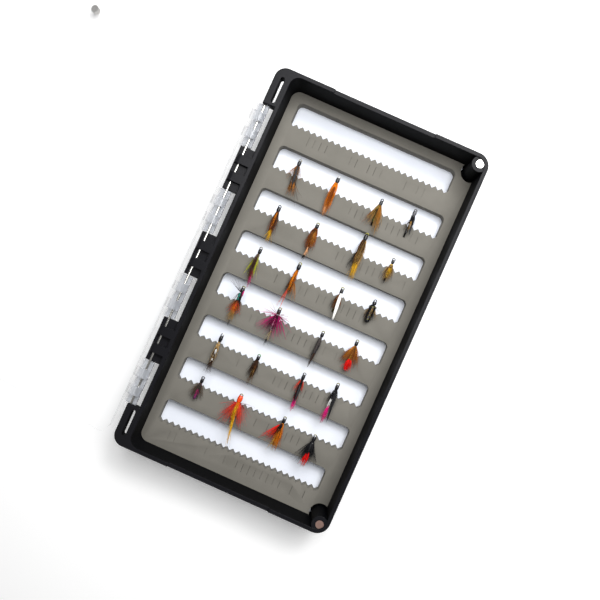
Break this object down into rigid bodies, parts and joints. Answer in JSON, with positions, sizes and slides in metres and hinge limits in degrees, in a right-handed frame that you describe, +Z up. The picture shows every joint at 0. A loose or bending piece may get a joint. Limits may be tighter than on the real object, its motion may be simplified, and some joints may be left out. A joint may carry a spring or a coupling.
{
  "type": "fly box with tied flies",
  "caption": "Slim open fly box: black tray, slotted foam insert with serrated windows, clear hinged lid, corner magnets and a selection of tied flies.",
  "frame": {"origin": "centre of the tray's flat underside", "axes": "+X from the hinge towards the magnets, +Y along the hinge, +Z up out of the open tray"},
  "size_m": [0.1978, 0.178, 0.0235],
  "materials": {
    "tray_plastic": "satin black moulded plastic",
    "clear_plastic": "clear moulded polycarbonate",
    "pin_steel": "bright drawn wire",
    "foam": "matte closed-cell foam",
    "backing": "matte white sheet",
    "magnet_plating": "bright nickel plating",
    "hook_wire": "bronzed wire",
    "fly_a1": "tied feather and thread: ginger hackle, grey-brown body",
    "fly_a2": "tied feather and thread: bright orange wing",
    "fly_a3": "tied feather and thread: split tan and olive wings",
    "fly_a4": "tied feather and thread: small dark body with a forked cream wing",
    "fly_b1": "tied feather and thread: orange-brown body",
    "fly_b2": "tied feather and thread: rust-brown hackle",
    "fly_b3": "tied feather and thread: long mottled brown wing",
    "fly_b4": "tied feather and thread: small gold body with an orange hackle",
    "fly_c1": "tied feather and thread: striped wing with yellow-green sides",
    "fly_c2": "tied feather and thread: slender orange-brown hackle",
    "fly_c3": "tied feather and thread: white quill wing over brown",
    "fly_c4": "tied feather and thread: compact ribbed black and gold body",
    "fly_d1": "tied feather and thread: black hackle, teal front, orange middle",
    "fly_d2": "tied feather and thread: magenta hackle, black wing",
    "fly_d3": "tied feather and thread: thin dark grey wing",
    "fly_d4": "tied feather and thread: brown triangular hackle, red tail",
    "fly_e1": "tied feather and thread: slim tan body with silver rib",
    "fly_e2": "tied feather and thread: dark olive wing",
    "fly_e3": "tied feather and thread: black body, red throat, pink tail",
    "fly_e4": "tied feather and thread: long black wing, pink tail",
    "fly_f1": "tied feather and thread: dun hackle, purple body",
    "fly_f2": "tied feather and thread: hot orange hackle, yellow tail",
    "fly_f3": "tied feather and thread: orange wing, red hackle",
    "fly_f4": "tied feather and thread: black hackle and wing, red tail"
  },
  "bodies": {
    "tray": {"tray": "tray_plastic", "hinge_pin": "pin_steel", "foam_insert": "foam", "backing_sheet": "backing", "tray_magnets": "magnet_plating"},
    "lid": {"clear_lid": "clear_plastic", "lid_magnets": "magnet_plating"},
    "fly_a1": {"fly_a1_hook": "hook_wire", "fly_a1_dressing": "fly_a1"},
    "fly_a2": {"fly_a2_hook": "hook_wire", "fly_a2_dressing": "fly_a2"},
    "fly_a3": {"fly_a3_hook": "hook_wire", "fly_a3_dressing": "fly_a3"},
    "fly_a4": {"fly_a4_hook": "hook_wire", "fly_a4_dressing": "fly_a4"},
    "fly_b1": {"fly_b1_hook": "hook_wire", "fly_b1_dressing": "fly_b1"},
    "fly_b2": {"fly_b2_hook": "hook_wire", "fly_b2_dressing": "fly_b2"},
    "fly_b3": {"fly_b3_hook": "hook_wire", "fly_b3_dressing": "fly_b3"},
    "fly_b4": {"fly_b4_hook": "hook_wire", "fly_b4_dressing": "fly_b4"},
    "fly_c1": {"fly_c1_hook": "hook_wire", "fly_c1_dressing": "fly_c1"},
    "fly_c2": {"fly_c2_hook": "hook_wire", "fly_c2_dressing": "fly_c2"},
    "fly_c3": {"fly_c3_hook": "hook_wire", "fly_c3_dressing": "fly_c3"},
    "fly_c4": {"fly_c4_hook": "hook_wire", "fly_c4_dressing": "fly_c4"},
    "fly_d1": {"fly_d1_hook": "hook_wire", "fly_d1_dressing": "fly_d1"},
    "fly_d2": {"fly_d2_hook": "hook_wire", "fly_d2_dressing": "fly_d2"},
    "fly_d3": {"fly_d3_hook": "hook_wire", "fly_d3_dressing": "fly_d3"},
    "fly_d4": {"fly_d4_hook": "hook_wire", "fly_d4_dressing": "fly_d4"},
    "fly_e1": {"fly_e1_hook": "hook_wire", "fly_e1_dressing": "fly_e1"},
    "fly_e2": {"fly_e2_hook": "hook_wire", "fly_e2_dressing": "fly_e2"},
    "fly_e3": {"fly_e3_hook": "hook_wire", "fly_e3_dressing": "fly_e3"},
    "fly_e4": {"fly_e4_hook": "hook_wire", "fly_e4_dressing": "fly_e4"},
    "fly_f1": {"fly_f1_hook": "hook_wire", "fly_f1_dressing": "fly_f1"},
    "fly_f2": {"fly_f2_hook": "hook_wire", "fly_f2_dressing": "fly_f2"},
    "fly_f3": {"fly_f3_hook": "hook_wire", "fly_f3_dressing": "fly_f3"},
    "fly_f4": {"fly_f4_hook": "hook_wire", "fly_f4_dressing": "fly_f4"}
  },
  "joints": [
    {"name": "lid_hinge", "type": "hinge", "parent": "tray", "child": "lid", "pos_m": [-0.0521, 0, 0.0212], "axis": [0, -1, 0], "range_deg": [-188.3, 0]},
    {"name": "fly_a1_lift", "type": "slide", "parent": "tray", "child": "fly_a1", "axis": [0, 0, 1], "range_m": [0, 0.03]},
    {"name": "fly_a2_lift", "type": "slide", "parent": "tray", "child": "fly_a2", "axis": [0, 0, 1], "range_m": [0, 0.03]},
    {"name": "fly_a3_lift", "type": "slide", "parent": "tray", "child": "fly_a3", "axis": [0, 0, 1], "range_m": [0, 0.03]},
    {"name": "fly_a4_lift", "type": "slide", "parent": "tray", "child": "fly_a4", "axis": [0, 0, 1], "range_m": [0, 0.03]},
    {"name": "fly_b1_lift", "type": "slide", "parent": "tray", "child": "fly_b1", "axis": [0, 0, 1], "range_m": [0, 0.03]},
    {"name": "fly_b2_lift", "type": "slide", "parent": "tray", "child": "fly_b2", "axis": [0, 0, 1], "range_m": [0, 0.03]},
    {"name": "fly_b3_lift", "type": "slide", "parent": "tray", "child": "fly_b3", "axis": [0, 0, 1], "range_m": [0, 0.03]},
    {"name": "fly_b4_lift", "type": "slide", "parent": "tray", "child": "fly_b4", "axis": [0, 0, 1], "range_m": [0, 0.03]},
    {"name": "fly_c1_lift", "type": "slide", "parent": "tray", "child": "fly_c1", "axis": [0, 0, 1], "range_m": [0, 0.03]},
    {"name": "fly_c2_lift", "type": "slide", "parent": "tray", "child": "fly_c2", "axis": [0, 0, 1], "range_m": [0, 0.03]},
    {"name": "fly_c3_lift", "type": "slide", "parent": "tray", "child": "fly_c3", "axis": [0, 0, 1], "range_m": [0, 0.03]},
    {"name": "fly_c4_lift", "type": "slide", "parent": "tray", "child": "fly_c4", "axis": [0, 0, 1], "range_m": [0, 0.03]},
    {"name": "fly_d1_lift", "type": "slide", "parent": "tray", "child": "fly_d1", "axis": [0, 0, 1], "range_m": [0, 0.03]},
    {"name": "fly_d2_lift", "type": "slide", "parent": "tray", "child": "fly_d2", "axis": [0, 0, 1], "range_m": [0, 0.03]},
    {"name": "fly_d3_lift", "type": "slide", "parent": "tray", "child": "fly_d3", "axis": [0, 0, 1], "range_m": [0, 0.03]},
    {"name": "fly_d4_lift", "type": "slide", "parent": "tray", "child": "fly_d4", "axis": [0, 0, 1], "range_m": [0, 0.03]},
    {"name": "fly_e1_lift", "type": "slide", "parent": "tray", "child": "fly_e1", "axis": [0, 0, 1], "range_m": [0, 0.03]},
    {"name": "fly_e2_lift", "type": "slide", "parent": "tray", "child": "fly_e2", "axis": [0, 0, 1], "range_m": [0, 0.03]},
    {"name": "fly_e3_lift", "type": "slide", "parent": "tray", "child": "fly_e3", "axis": [0, 0, 1], "range_m": [0, 0.03]},
    {"name": "fly_e4_lift", "type": "slide", "parent": "tray", "child": "fly_e4", "axis": [0, 0, 1], "range_m": [0, 0.03]},
    {"name": "fly_f1_lift", "type": "slide", "parent": "tray", "child": "fly_f1", "axis": [0, 0, 1], "range_m": [0, 0.03]},
    {"name": "fly_f2_lift", "type": "slide", "parent": "tray", "child": "fly_f2", "axis": [0, 0, 1], "range_m": [0, 0.03]},
    {"name": "fly_f3_lift", "type": "slide", "parent": "tray", "child": "fly_f3", "axis": [0, 0, 1], "range_m": [0, 0.03]},
    {"name": "fly_f4_lift", "type": "slide", "parent": "tray", "child": "fly_f4", "axis": [0, 0, 1], "range_m": [0, 0.03]}
  ]
}
